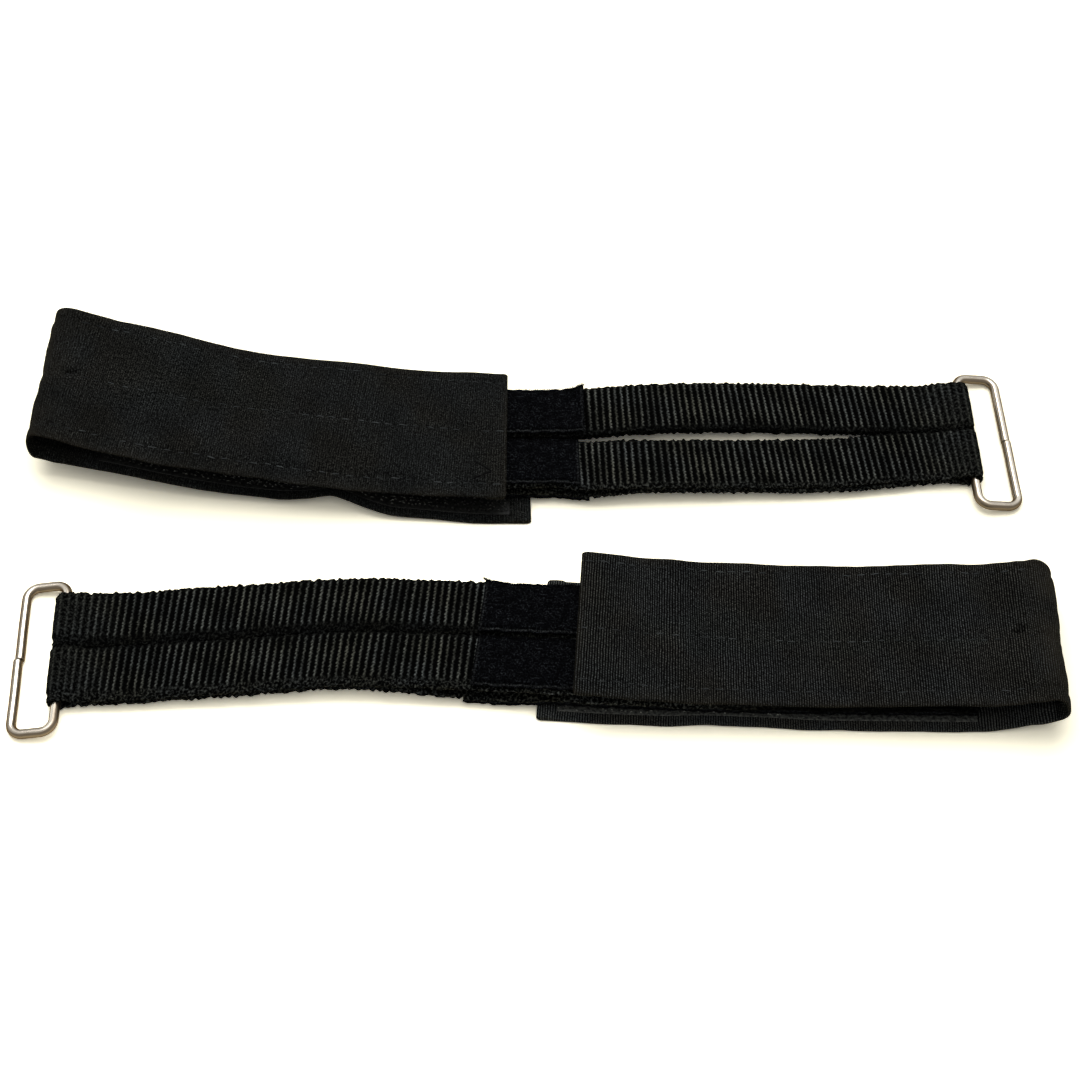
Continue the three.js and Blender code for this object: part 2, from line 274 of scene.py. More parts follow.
# Strap b's two webbings bow the same way, one the mirror image of the other.
bow_near = [(0, 0.073), (0.054, 0.09), (0.087, 0.085), (0.117, 0.067), (0.18, 0.049), (0.244, 0.02),
            (0.28, 0), (1, 0)]
strap_near = Strap("b", 1, {
    "ring_shift": -3.9, "pile_start": {"far": 131, "near": 130.8}, "flap_start": 161.3, "base_start": 150.5,
    "rows": (24.6, 0.7, -17.8), "pucker": (299.2, 3.1), "selvage": 3.0, "wire_miss": 0.25,
    "webbing_dark": 34, "hooks_dark": (212, 250), "fold_reach": 0.8, "fold_drawn": 0.05, "rubbed": 0.06,
    "cuff_pale": {"flap": 1.0, "fold": 1.0, "base": 2.6}, "webbing_pale": 0.95, "mouth_pale": 1.6,
    "tape_pale": 0.22,
}, {
    "sideways": [
        (0, 0), (0.15, 0.005), (0.288, 0.0092), (0.383, 0.0057), (0.473, -0.002),
        (0.575, -0.0084), (0.754, -0.0138), (0.914, -0.016), (1, -0.0179),
    ],
    "raise": [
        (0, 0), (0.144, 0.2), (0.288, 0.27), (0.383, 0.25), (0.467, 0.45), (0.53, 0.6), (0.6, 0.3), (0.65, 0),
        (0.914, 0), (0.967, 0.6), (1, 1.4),
    ],
    "follow": [(0, 0), (0.62, 0), (0.7, 1), (1, 1)],
    "lift": [
        (0, 0.5), (0.5, 0.42), (0.53, 0.35), (0.575, 0.2), (0.62, 0.3), (0.67, 0.26), (0.735, 0.14),
        (0.795, 0.18), (0.837, 0.33), (0.886, 0.48), (0.946, 0.5), (0.978, 0.46), (1, 0.4),
    ],
    "bow_far": [(place, -share) for place, share in bow_near],
    "bow_near": bow_near,
    "sag": [
        (0, 0), (0.33, 0), (0.39, 1.4), (0.44, 3), (0.47, 3.1), (0.5, 2.5), (0.53, 2.9), (0.6, 1.4),
        (0.65, 0), (1, 0),
    ],
    "spill": [(0, 0), (0.02, 0), (0.09, 0.2), (0.28, 0), (0.38, 1.0), (0.45, 0.9), (0.48, 0.3), (1, 0)],
    "base_sway": [
        (0, -1.3), (0.6, -1.1), (0.65, -0.4), (0.7, -0.6), (0.765, -1.3), (0.886, -1.25), (0.92, -1.0),
        (0.96, -0.2), (1, 0),
    ],
    "tuck": [(0, 0), (0.6, 0), (0.66, 0.6), (0.8, 0.8), (1, 0.5)],
    "far_curl": [(0, 1.0), (0.62, 1.0), (0.7, 1.7), (0.8, 1.1), (0.9, 1.1), (1, 0.3)],
    "skew": [(0, 0), (0.045, 0.05), (0.19, 0.11), (0.3, 0.09), (0.38, 0.03), (0.43, 0), (1, 0)],
})
straps = [strap_far, strap_near]


def directions(strap, height, x):
    """The strap's tangent at x, the direction across it, level but for the roll, and the
    direction square to both."""
    step = strap_length * 1e-5
    slope = lambda curve: (curve(x + step) - curve(x - step)) / (2 * step)
    along = np.stack([np.ones_like(x), slope(strap.sideways), slope(height)], -1)
    along /= np.linalg.norm(along, axis=-1, keepdims=True)
    across = np.stack([-along[..., 1], along[..., 0], np.zeros_like(x)], -1)
    across /= np.linalg.norm(across, axis=-1, keepdims=True)
    roll = strap.roll(x)[..., None]
    across = across * np.cos(roll) + np.cross(along, across) * np.sin(roll)
    return along, across, np.cross(along, across)


def carry(strap, height, x, y, z):
    """Bench points onto the strap: the curve's own point, y across it and z up from it.
    Past the webbing's edges z is drawn in by the strap's pinch."""
    x, y, z = (np.array(v, float) for v in np.broadcast_arrays(x, y, z))
    place = x + strap.skew(x) * y
    along, across, up = directions(strap, height, place)
    margin = ease(np.abs(y), pinch_start, pinch_start + pinch_width)
    z = z * (1 - strap.pinch(x) * margin)
    point = np.stack([place, strap.sideways(place), height(place)], -1)
    point = point + across * y[..., None] + up * z[..., None]
    point[..., :2] = strap.hand * point[..., :2] + strap.anchor
    point[..., 2] = np.maximum(point[..., 2], 0)
    return point * MM


def hand_of(strap, side):
    """Which side of the bench a webbing or tape lies on: +1 or -1."""
    return strap.hand if side == "far" else -strap.hand


def make_mesh(name, points, faces, uv=None, marks=None, material=None, sharp_ends=False):
    """A piece from points, faces as rows of corners, one UV pair for each corner, and named
    numbers for each point. Doubled points are merged and the faces turned outwards."""
    mesh = bpy.data.meshes.new(name)
    mesh.vertices.add(len(points))
    mesh.vertices.foreach_set("co", points.astype(np.float32).ravel())
    mesh.loops.add(faces.size)
    mesh.loops.foreach_set("vertex_index", faces.astype(np.int32).ravel())
    mesh.polygons.add(len(faces))
    mesh.polygons.foreach_set("loop_start", np.arange(0, faces.size, faces.shape[1], dtype=np.int32))
    mesh.update(calc_edges=True)
    if uv is not None:
        mesh.uv_layers.new(name="cloth").data.foreach_set("uv", uv.astype(np.float32).ravel())
    for key, values in (marks or {}).items():
        mark = mesh.attributes.new(key, "FLOAT", "POINT")
        mark.data.foreach_set("value", values.astype(np.float32).ravel())
    tidy = bmesh.new()
    tidy.from_mesh(mesh)
    bmesh.ops.remove_doubles(tidy, verts=tidy.verts, dist=1e-8)
    bmesh.ops.recalc_face_normals(tidy, faces=tidy.faces)
    tidy.to_mesh(mesh)
    tidy.free()
    mesh.shade_smooth()
    if sharp_ends:
        mesh.set_sharp_from_angle(angle=math.radians(60))
    mesh.materials.append(material)
    piece = bpy.data.objects.new(name, mesh)
    bpy.context.scene.collection.objects.link(piece)
    return piece


def grid_faces(rows, columns, around):
    """Faces of a grid of points, rows by columns, closed round its columns if asked, and the
    matching rows and columns of each corner, where a closed grid's last column counts on."""
    last = columns if around else columns - 1
    row, column = np.meshgrid(np.arange(rows - 1), np.arange(last), indexing="ij")
    corner_rows = np.stack([row, row, row + 1, row + 1], -1).reshape(-1, 4)
    corner_columns = np.stack([column, column + 1, column + 1, column], -1).reshape(-1, 4)
    return corner_rows * columns + corner_columns % columns, corner_rows, corner_columns


def sleeve(name, points, lengths, widths, material, marks=None, capped=False):
    """A closed surface from rings of points, one ring a row. lengths and widths give each
    row's and column's running place in millimetres, for the cloth's pattern. Its ends are
    either drawn together already, or closed across with a flat cap."""
    rows, columns = points.shape[:2]
    faces, corner_rows, corner_columns = grid_faces(rows, columns, True)
    uv = np.stack([np.asarray(lengths)[corner_rows], np.asarray(widths)[corner_columns]], -1) * MM
    if capped:
        half = columns // 2
        j = np.arange(half - 1)
        zip_faces = np.stack([j, j + 1, columns - 2 - j, columns - 1 - j], -1)
        ends = [zip_faces, zip_faces + (rows - 1) * columns]
        end_uv = [np.stack([np.full(e.shape, lengths[k]), np.asarray(widths)[zip_faces]], -1) * MM
                  for e, k in zip(ends, (0, -1))]
        faces, uv = np.concatenate([faces, *ends]), np.concatenate([uv, *end_uv])
    marks = {key: np.broadcast_to(value, (rows, columns)) for key, value in (marks or {}).items()}
    return make_mesh(name, points.reshape(-1, 3), faces, uv, marks, material, sharp_ends=capped)


def flat_oval(width, thickness, columns, arc=5):
    """Profile of a flat band, from one long edge over the top and back below: two straight
    faces joined by half circles. Gives places across, heights and the running length."""
    r = thickness / 2
    straight = np.linspace(-1, 1, columns) * (width / 2 - r)
    angle = np.linspace(np.pi / 2, -np.pi / 2, arc + 2)[1:-1]
    y = np.r_[straight, straight[-1] + r * np.cos(angle), straight[::-1], straight[0] - r * np.cos(angle)]
    d = np.r_[np.full(columns, r), r * np.sin(angle), np.full(columns, -r), -r * np.sin(angle)]
    steps = np.hypot(np.diff(np.r_[y, y[0]]), np.diff(np.r_[d, d[0]]))
    return y, d, np.r_[0, np.cumsum(steps)]


# Colours and materials.


def linear(code, gain=1.0):
    """An sRGB hex colour, such as 8a8f94, as linear red, green, blue and full alpha."""
    channels = np.array([int(code[i:i + 2], 16) for i in (0, 2, 4)]) / 255
    low, high = channels / 12.92, ((channels + 0.055) / 1.055) ** 2.4
    return (*(np.where(channels <= 0.04045, low, high) * gain), 1)


def add(tree, kind, inputs, **settings):
    """One new node with its settings. Its inputs are listed in their order, or given by
    name, and each is a number, a colour, a socket, or a node whose first output is meant."""
    node = tree.nodes.new("ShaderNode" + kind)
    for key, value in settings.items():
        setattr(node, key, value)
    open_sockets = [socket for socket in node.inputs if socket.enabled]
    pairs = inputs.items() if isinstance(inputs, dict) else zip(range(len(inputs)), inputs)
    for key, value in pairs:
        socket = node.inputs[key] if isinstance(key, str) else open_sockets[key]
        if isinstance(value, bpy.types.Node):
            value = next(output for output in value.outputs if output.enabled)
        if isinstance(value, bpy.types.NodeSocket):
            tree.links.new(value, socket)
        else:
            socket.default_value = value
    return node


def new_material(name, roughness, specular, metallic=0.0):
    """A new material and its node tree, with the constants that hold all over it."""
    material = bpy.data.materials.new(name)
    material.use_nodes = True
    shader = material.node_tree.nodes["Principled BSDF"]
    shader.inputs["Roughness"].default_value = roughness
    shader.inputs["Specular IOR Level"].default_value = specular
    shader.inputs["Metallic"].default_value = metallic
    return material, material.node_tree


def finish_material(material, colour, relief, depth):
    """Gives a material its colour, and the relief as a bump of so many millimetres."""
    tree, shader = material.node_tree, material.node_tree.nodes["Principled BSDF"]
    bump = add(tree, "Bump", {"Height": relief, "Distance": depth * MM, "Strength": 1.0})
    tree.links.new(next(output for output in colour.outputs if output.enabled), shader.inputs["Base Color"])
    tree.links.new(bump.outputs[0], shader.inputs["Normal"])
    return material


def nylon_webbing():
    """Ribbed nylon webbing, heavy cords under a spun cover: dull black gone slightly olive,
    with a thin grey highlight painted along each rib's crest, broken into beads by the yarn's twist."""
    material, tree = new_material("ribbed_nylon_webbing", 0.7, 0.006)
    cloth = add(tree, "UVMap", {}, uv_map="cloth")
    place = add(tree, "SeparateXYZ", [cloth])
    across, ribbed, knotted, pale = (
        add(tree, "Attribute", {}, attribute_name=mark).outputs["Fac"]
        for mark in ("across", "ribbed", "knotted", "pale"))
    fibre, wander, patch, tint, knot = (
        add(tree, "TexNoise", {"Vector": cloth, "Scale": 1 / (mm * MM), "Detail": detail, "Roughness": rough})
        for mm, detail, rough in ((0.4, 2, 0.65), (1.6, 1, 0.5), (7, 2, 0.5), (18, 1, 0.5), (0.85, 2, 0.6)))
    # The twist: a wave across the webbing, one turn for each yarn.
    turn = add(tree, "Math", [across, 2 * math.pi / webbing_yarn, wander], operation="MULTIPLY_ADD")
    turn = add(tree, "Math", [wander, 5.0, turn], operation="MULTIPLY_ADD")
    twist = add(tree, "Math", [turn], operation="SINE")
    bead = add(tree, "Math", [twist, 0.5, 0.5], operation="MULTIPLY_ADD")
    # The rib's crest: a cosine along the webbing, pushed aside a little by twist and wander.
    rib = 0.0
    for source, amount in ((place.outputs["X"], 1 / (webbing_rib * MM)), (twist, 0.06), (wander, 0.32)):
        rib = add(tree, "Math", [source, amount, rib], operation="MULTIPLY_ADD")
    rib = add(tree, "Math", [rib, 2 * math.pi], operation="MULTIPLY")
    wave = add(tree, "Math", [rib], operation="COSINE")
    crest = add(tree, "Math", [wave, -0.5, 0.5], operation="MULTIPLY_ADD")
    crest = add(tree, "Math", [crest, 4.6], operation="POWER")
    lit = add(tree, "Math", [crest, add(tree, "Math", [bead, 0.6, 0.4], operation="MULTIPLY_ADD")],
              operation="MULTIPLY")
    # No two ribs are lit alike: the painted highlight varies with noise drawn out along each rib.
    drawn = add(tree, "Mapping", {"Vector": cloth, "Scale": (1, 0.12, 1)}, vector_type="POINT")
    each = add(tree, "TexNoise", {"Vector": drawn, "Scale": 1 / (2.6 * MM), "Detail": 1.0})
    for noise, *spread in ((each, 0.32, 0.66, 0.45, 1.3), (fibre, 0.3, 0.62, 0.1, 1.25),
                           (patch, 0.3, 0.7, 0.45, 1.3)):
        lit = add(tree, "Math", [lit, add(tree, "MapRange", [noise, *spread])], operation="MULTIPLY")
    lit = add(tree, "Math", [lit, ribbed], operation="MULTIPLY")
    # The selvages are knotted, and their knots catch a little light.
    knot = add(tree, "MapRange", [knot, 0.48, 0.68, 0.0, 0.4])
    knot = add(tree, "Math", [knot, knotted], operation="MULTIPLY")
    lit = add(tree, "Math", [lit, knot], operation="ADD")
    speck = add(tree, "MapRange", [fibre, 0.62, 0.85, 0.0, 0.2])
    lit = add(tree, "Math", [lit, speck], operation="ADD")
    # The tone share holds each strap's tone, painted shade inside the cuff and painted light at its mouth.
    lit = add(tree, "Math", [lit, pale], operation="MULTIPLY", use_clamp=True)
    tint = add(tree, "MapRange", [tint, 0.35, 0.65, 0.0, 1.0])
    light = add(tree, "Mix", [tint, linear("5d615f"), linear("5c5d54")], data_type="RGBA")
    colour = add(tree, "Mix", [lit, linear("010101"), light], data_type="RGBA")
    relief = add(tree, "Math", [fibre, 0.5, bead], operation="MULTIPLY_ADD")
    return finish_material(material, colour, relief, 0.12)


def loop_pile():
    """Brushed nylon loop pile: matt blue-black, the darkest of the cloths, with a grain of
    loops that catch light here and there, and a paler thread where its selvages begin."""
    material, tree = new_material("brushed_loop_pile", 1.0, 0.01)
    cloth = add(tree, "UVMap", {}, uv_map="cloth")
    across = add(tree, "Attribute", {}, attribute_name="across").outputs["Fac"]
    grain, clump = (
        add(tree, "TexNoise", {"Vector": cloth, "Scale": 1 / (mm * MM), "Detail": detail, "Roughness": rough})
        for mm, detail, rough in ((0.62, 3, 0.7), (2.6, 2, 0.5)))
    glint = add(tree, "MapRange", [grain, 0.5, 0.76, 0.0, 1.0])
    clumped = add(tree, "MapRange", [clump, 0.35, 0.65, 0.25, 1.2])
    glint = add(tree, "Math", [glint, clumped], operation="MULTIPLY")
    colour = add(tree, "Mix", [glint, linear("030304"), linear("323538")], data_type="RGBA")
    inset = add(tree, "Math", [pile_width / 2 - 0.8, across], operation="SUBTRACT")
    inset = add(tree, "Math", [inset], operation="ABSOLUTE")
    thread = add(tree, "MapRange", [inset, 0.1, 0.5, 0.8, 0.0], interpolation_type="SMOOTHSTEP")
    along = add(tree, "Attribute", {}, attribute_name="along").outputs["Fac"]
    end = add(tree, "Math", [add(tree, "Math", [along, 0.7], operation="SUBTRACT")], operation="ABSOLUTE")
    end = add(tree, "MapRange", [end, 0.1, 0.5, 0.3, 0.0], interpolation_type="SMOOTHSTEP")
    thread = add(tree, "Math", [thread, end], operation="MAXIMUM")
    broken = add(tree, "MapRange", [grain, 0.4, 0.62, 0.0, 1.0])
    thread = add(tree, "Math", [thread, broken], operation="MULTIPLY")
    colour = add(tree, "Mix", [thread, colour, linear("3e4040")], data_type="RGBA")
    relief = add(tree, "Math", [clump, 0.6, grain], operation="MULTIPLY_ADD")
    return finish_material(material, colour, relief, 0.35)


def hook_tape():
    """Moulded nylon hook tape: near-black, with a painted glint that makes each hook a speck."""
    material, tree = new_material("nylon_hook_tape", 0.4, 0.15)
    place = add(tree, "TexCoord", {}).outputs["Object"]
    grain = add(tree, "TexNoise", {"Vector": place, "Scale": 1 / (0.9 * MM), "Detail": 2.0})
    tip = add(tree, "Attribute", {}, attribute_name="tip").outputs["Fac"]
    painted_glint = add(tree, "MapRange", [grain, 0.35, 0.6, 0.1, 1.0])
    painted_glint = add(tree, "Math", [tip, painted_glint], operation="MULTIPLY")
    colour = add(tree, "Mix", [painted_glint, linear("060606"), linear("a3a69e")], data_type="RGBA")
    return finish_material(material, colour, grain, 0.05)


def cuff_cloth():
    """Ribbed polyester band, woven with fine ribs straight across: near-black, each rib a
    row of small grey beads of yarn, worn and dusted brown along folds, hems and edges."""
    material, tree = new_material("ribbed_polyester_band", 0.85, 0.006)
    cloth = add(tree, "UVMap", {}, uv_map="cloth")
    place = add(tree, "SeparateXYZ", [cloth])
    wear, rubbed, pale = (add(tree, "Attribute", {}, attribute_name=mark).outputs["Fac"]
                          for mark in ("wear", "rubbed", "pale"))
    fibre, drift, patch, tint, uneven = (
        add(tree, "TexNoise", {"Vector": cloth, "Scale": 1 / (mm * MM), "Detail": detail, "Roughness": rough})
        for mm, detail, rough in ((0.42, 2, 0.7), (5, 2, 0.5), (14, 3, 0.6), (25, 2, 0.5), (0.9, 1, 0.5)))
    # Beads: a wave along the band for the ribs and one across it for the yarn, leaning a
    # little, so that the beads of neighbouring ribs are staggered.
    rib = yarn = 0.0
    for source, amount in ((place.outputs["X"], 2 * math.pi / (cuff_rib * MM)), (drift, 5.0), (fibre, 0.4)):
        rib = add(tree, "Math", [source, amount, rib], operation="MULTIPLY_ADD")
    for source, amount in ((place.outputs["Y"], 2 * math.pi / (cuff_yarn * MM)), (rib, 0.5), (drift, 9.0)):
        yarn = add(tree, "Math", [source, amount, yarn], operation="MULTIPLY_ADD")
    rib_wave, yarn_wave = (
        add(tree, "Math", [add(tree, "Math", [angle], operation="SINE"), 0.5, 0.5], operation="MULTIPLY_ADD")
        for angle in (rib, yarn))
    yarn_wave = add(tree, "Math", [yarn_wave, 0.32, 0.68], operation="MULTIPLY_ADD")
    bead = add(tree, "Math", [rib_wave, yarn_wave], operation="MULTIPLY")
    line = add(tree, "Math", [bead, 3.0], operation="POWER")
    # Where the band is rubbed, its nap hides the ribs.
    nap = add(tree, "MapRange", [fibre, 0.44, 0.58, 0.0, 0.75])
    line = add(tree, "Mix", [rubbed, line, nap], data_type="FLOAT")
    # The tone share holds each cloth's tone, and on the cuffs' bases painted light out of the flap's shade.
    for shade in (add(tree, "MapRange", [uneven, 0.34, 0.62, 0.38, 1.3]), pale,
                  add(tree, "MapRange", [fibre, 0.35, 0.62, 0.3, 1.4])):
        line = add(tree, "Math", [line, shade], operation="MULTIPLY")
    stained = add(tree, "MapRange", [patch, 0.3, 0.7, 0.7, 1.15])
    line = add(tree, "Math", [line, stained], operation="MULTIPLY", use_clamp=True)
    tint = add(tree, "MapRange", [tint, 0.42, 0.6, 0.0, 1.0])
    light = add(tree, "Mix", [tint, linear("4e5150"), linear("4f4f4a")], data_type="RGBA")
    colour = add(tree, "Mix", [line, linear("020202"), light], data_type="RGBA")
    dust = add(tree, "MapRange", [patch, 0.35, 0.65, 0.2, 1.0])
    dust = add(tree, "Math", [wear, dust], operation="MULTIPLY")
    dust = add(tree, "Math", [dust, add(tree, "MapRange", [fibre, 0.3, 0.7, 0.3, 0.9])], operation="MULTIPLY",
               use_clamp=True)
    colour = add(tree, "Mix", [dust, colour, linear("2b2720")], data_type="RGBA")
    relief = add(tree, "Math", [fibre, 0.8, bead], operation="MULTIPLY_ADD")
    return finish_material(material, colour, relief, 0.14)


def sewing_thread():
    """Spun polyester thread, once black and rubbed to grey where it stands proud."""
    material, tree = new_material("spun_polyester_thread", 0.75, 0.05)
    place = add(tree, "TexCoord", {}).outputs["Object"]
    fade = add(tree, "TexNoise", {"Vector": place, "Scale": 1 / (9.0 * MM), "Detail": 2.0})
    ply = add(tree, "TexNoise", {"Vector": place, "Scale": 1 / (0.4 * MM)})
    proud = add(tree, "Attribute", {}, attribute_name="proud").outputs["Fac"]
    fade = add(tree, "MapRange", [fade, 0.38, 0.66, 0.2, 1.0])
    fade = add(tree, "Math", [proud, fade], operation="MULTIPLY")
    colour = add(tree, "Mix", [fade, linear("020202"), linear("414444")], data_type="RGBA")
    return finish_material(material, colour, ply, 0.06)


def nickel_wire():
    """Steel wire, bent cold and nickel-plated bright: warm silver along its top, and brown on
    its flanks, where reflections of dark surroundings are painted in; uneven in patches."""
    material, tree = new_material("nickel_plated_steel_wire", 0.2, 0.5, metallic=1.0)
    place = add(tree, "TexCoord", {}).outputs["Object"]
    flank = add(tree, "Attribute", {}, attribute_name="flank").outputs["Fac"]
    patch = add(tree, "TexNoise", {"Vector": place, "Scale": 1 / (6.0 * MM), "Detail": 3.0, "Roughness": 0.6})
    speck = add(tree, "TexNoise", {"Vector": place, "Scale": 1 / (0.5 * MM), "Detail": 2.0})
    # Painted reflection, made uneven by patches, sets both the colour and the roughness.
    reflection_and_patches = add(tree, "Math", [patch, 0.5, flank], operation="MULTIPLY_ADD")
    reflection_and_patches = add(tree, "MapRange", [reflection_and_patches, 0.45, 1.2, 0.0, 1.0])
    colour = add(tree, "Mix", [reflection_and_patches, linear("ded6c8"), linear("665b4c")], data_type="RGBA")
    shader = tree.nodes["Principled BSDF"]
    shader.inputs["Specular Tint"].default_value = linear("8a7f6c")
    dull = add(tree, "MapRange", [reflection_and_patches, 0.0, 1.0, 0.1, 0.32])
    tree.links.new(dull.outputs[0], shader.inputs["Roughness"])
    return finish_material(material, colour, speck, 0.01)


webbing_material, pile_material, hook_material = nylon_webbing(), loop_pile(), hook_tape()
cuff_material, thread_material, wire_material = cuff_cloth(), sewing_thread(), nickel_wire()


# The rings.


def ring_wire(strap):
    """The wire swept round the rounded rectangle of its middle line: a circle square to the
    path, whose radius falls to nothing in a rounded end on each side of the seam. The two
    ends miss each other by up to half a millimetre."""
    depth, half = ring_opening_depth + wire_diameter, (ring_opening_length + wire_diameter) / 2
    r, seam = ring_corner_radius, wire_seam / 2
    corners = [(-depth + r, half - r, np.pi), (-r, half - r, np.pi / 2),
               (-r, r - half, 0), (-depth + r, r - half, -np.pi / 2)]
    path = [np.array([(-depth, seam)])]
    for centre_x, centre_y, first in corners:
        angle = np.linspace(first, first - np.pi / 2, 20)
        path.append(np.stack([centre_x + r * np.cos(angle), centre_y + r * np.sin(angle)], -1))
    path = np.concatenate([*path, np.array([(-depth, -seam)])])
    steps = np.r_[0, np.cumsum(np.linalg.norm(np.diff(path, axis=0), axis=1))]
    total, close = steps[-1], 0.09
    round_end = round_rows(close, 7)
    places = np.r_[round_end, np.linspace(close, total - close, 300)[1:-1], total - round_end[::-1]]
    middle = np.stack([np.interp(places, steps, path[:, k]) for k in (0, 1)], -1)
    miss = bell(places, 9) - bell(total - places, 9)
    middle[:, 0] += strap.hand * strap.wire_miss * miss
    tangent = np.gradient(middle, places, axis=0)
    tangent /= np.linalg.norm(tangent, axis=1, keepdims=True)
    from_end = np.minimum(places, total - places) / close
    radius = wire_radius * quarter_round(from_end)
    turn = np.linspace(0, 2 * np.pi, 48, endpoint=False)
    outward = np.stack([tangent[:, 1], -tangent[:, 0], np.zeros(len(places))], -1)
    ring = outward[:, None] * np.cos(turn)[:, None] + np.array([0, 0, 1.0]) * np.sin(turn)[:, None]
    local = np.c_[middle, np.zeros(len(places))][:, None] + ring * radius[:, None, None]
    return place_ring(strap, local), places, turn, np.abs(tangent[:, :1])


def place_ring(strap, local):
    """The ring hangs on its inner bar in the loops and rests on the table with its outer
    bar: tilted about the bar, turned square to the strap, and shifted along the bar."""
    start = np.zeros(1)
    _, across, _ = directions(strap, strap.tongue_height, start)
    across = across[0]
    origin = np.array([0, strap.sideways(start)[0], strap.tongue_height(start)[0]])
    drop = origin[2] - wire_radius - floor_clearance / 2
    tilt = math.asin(drop / (ring_opening_depth + wire_diameter))
    forward = np.array([across[1], -across[0], 0.0])
    lean = forward * math.cos(tilt) + np.array([0, 0, math.sin(tilt)])
    upward = np.cross(lean, across)
    point = origin + across * strap.ring_shift + local[..., :1] * lean + local[..., 1:2] * across
    point = point + local[..., 2:] * upward
    point[..., :2] = strap.hand * point[..., :2] + strap.anchor
    return point * MM


# How dark the painted reflection is across the top of a long bar, from its inner side at -1
# to its outer at 1. The wire's underside is painted dark all over.
full_painted_reflection = 1.2
painted_reflection_bands = {
    "a": [(-1, 1.2), (-0.98, 1.0), (-0.94, 0.75), (-0.68, 0.65), (-0.57, 1.1), (-0.46, 0.7), (-0.38, 0),
          (0.2, 0), (0.34, 0.65), (0.52, 0.8), (0.66, 1.2), (1, 1.2)],
    "b": [(-1, 1.2), (-0.96, 1.1), (-0.9, 0.95), (-0.72, 0.9), (-0.64, 1.2), (-0.57, 0.8), (-0.5, 0),
          (-0.1, 0), (0.02, 0.7), (0.45, 0.85), (0.6, 1.2), (1, 1.2)],
}
for strap in straps:
    points, lengths, turn, short_bar = ring_wire(strap)
    long_bar = np.where(np.sin(turn) > 0, curve_through(painted_reflection_bands[strap.name])(-np.cos(turn)), full_painted_reflection)
    # On the short bars all but a narrow top is painted dark, as reflection.
    flank = np.clip(2.75 - 2.75 * np.sin(turn) + 0.55, 0, full_painted_reflection)
    flank = flank * short_bar + long_bar * (1 - short_bar)
    wire = sleeve(f"wire_ring_{strap.name}", points, lengths, np.r_[turn, 2 * np.pi] * wire_radius,
                  wire_material, {"flank": flank})
    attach(wire, f"wire_{strap.name}")
    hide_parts(f"ring_{strap.name}")


# The webbings.

quarter_loop = np.pi / 2 * loop_middle
webbing_reach = quarter_loop + tongue_end


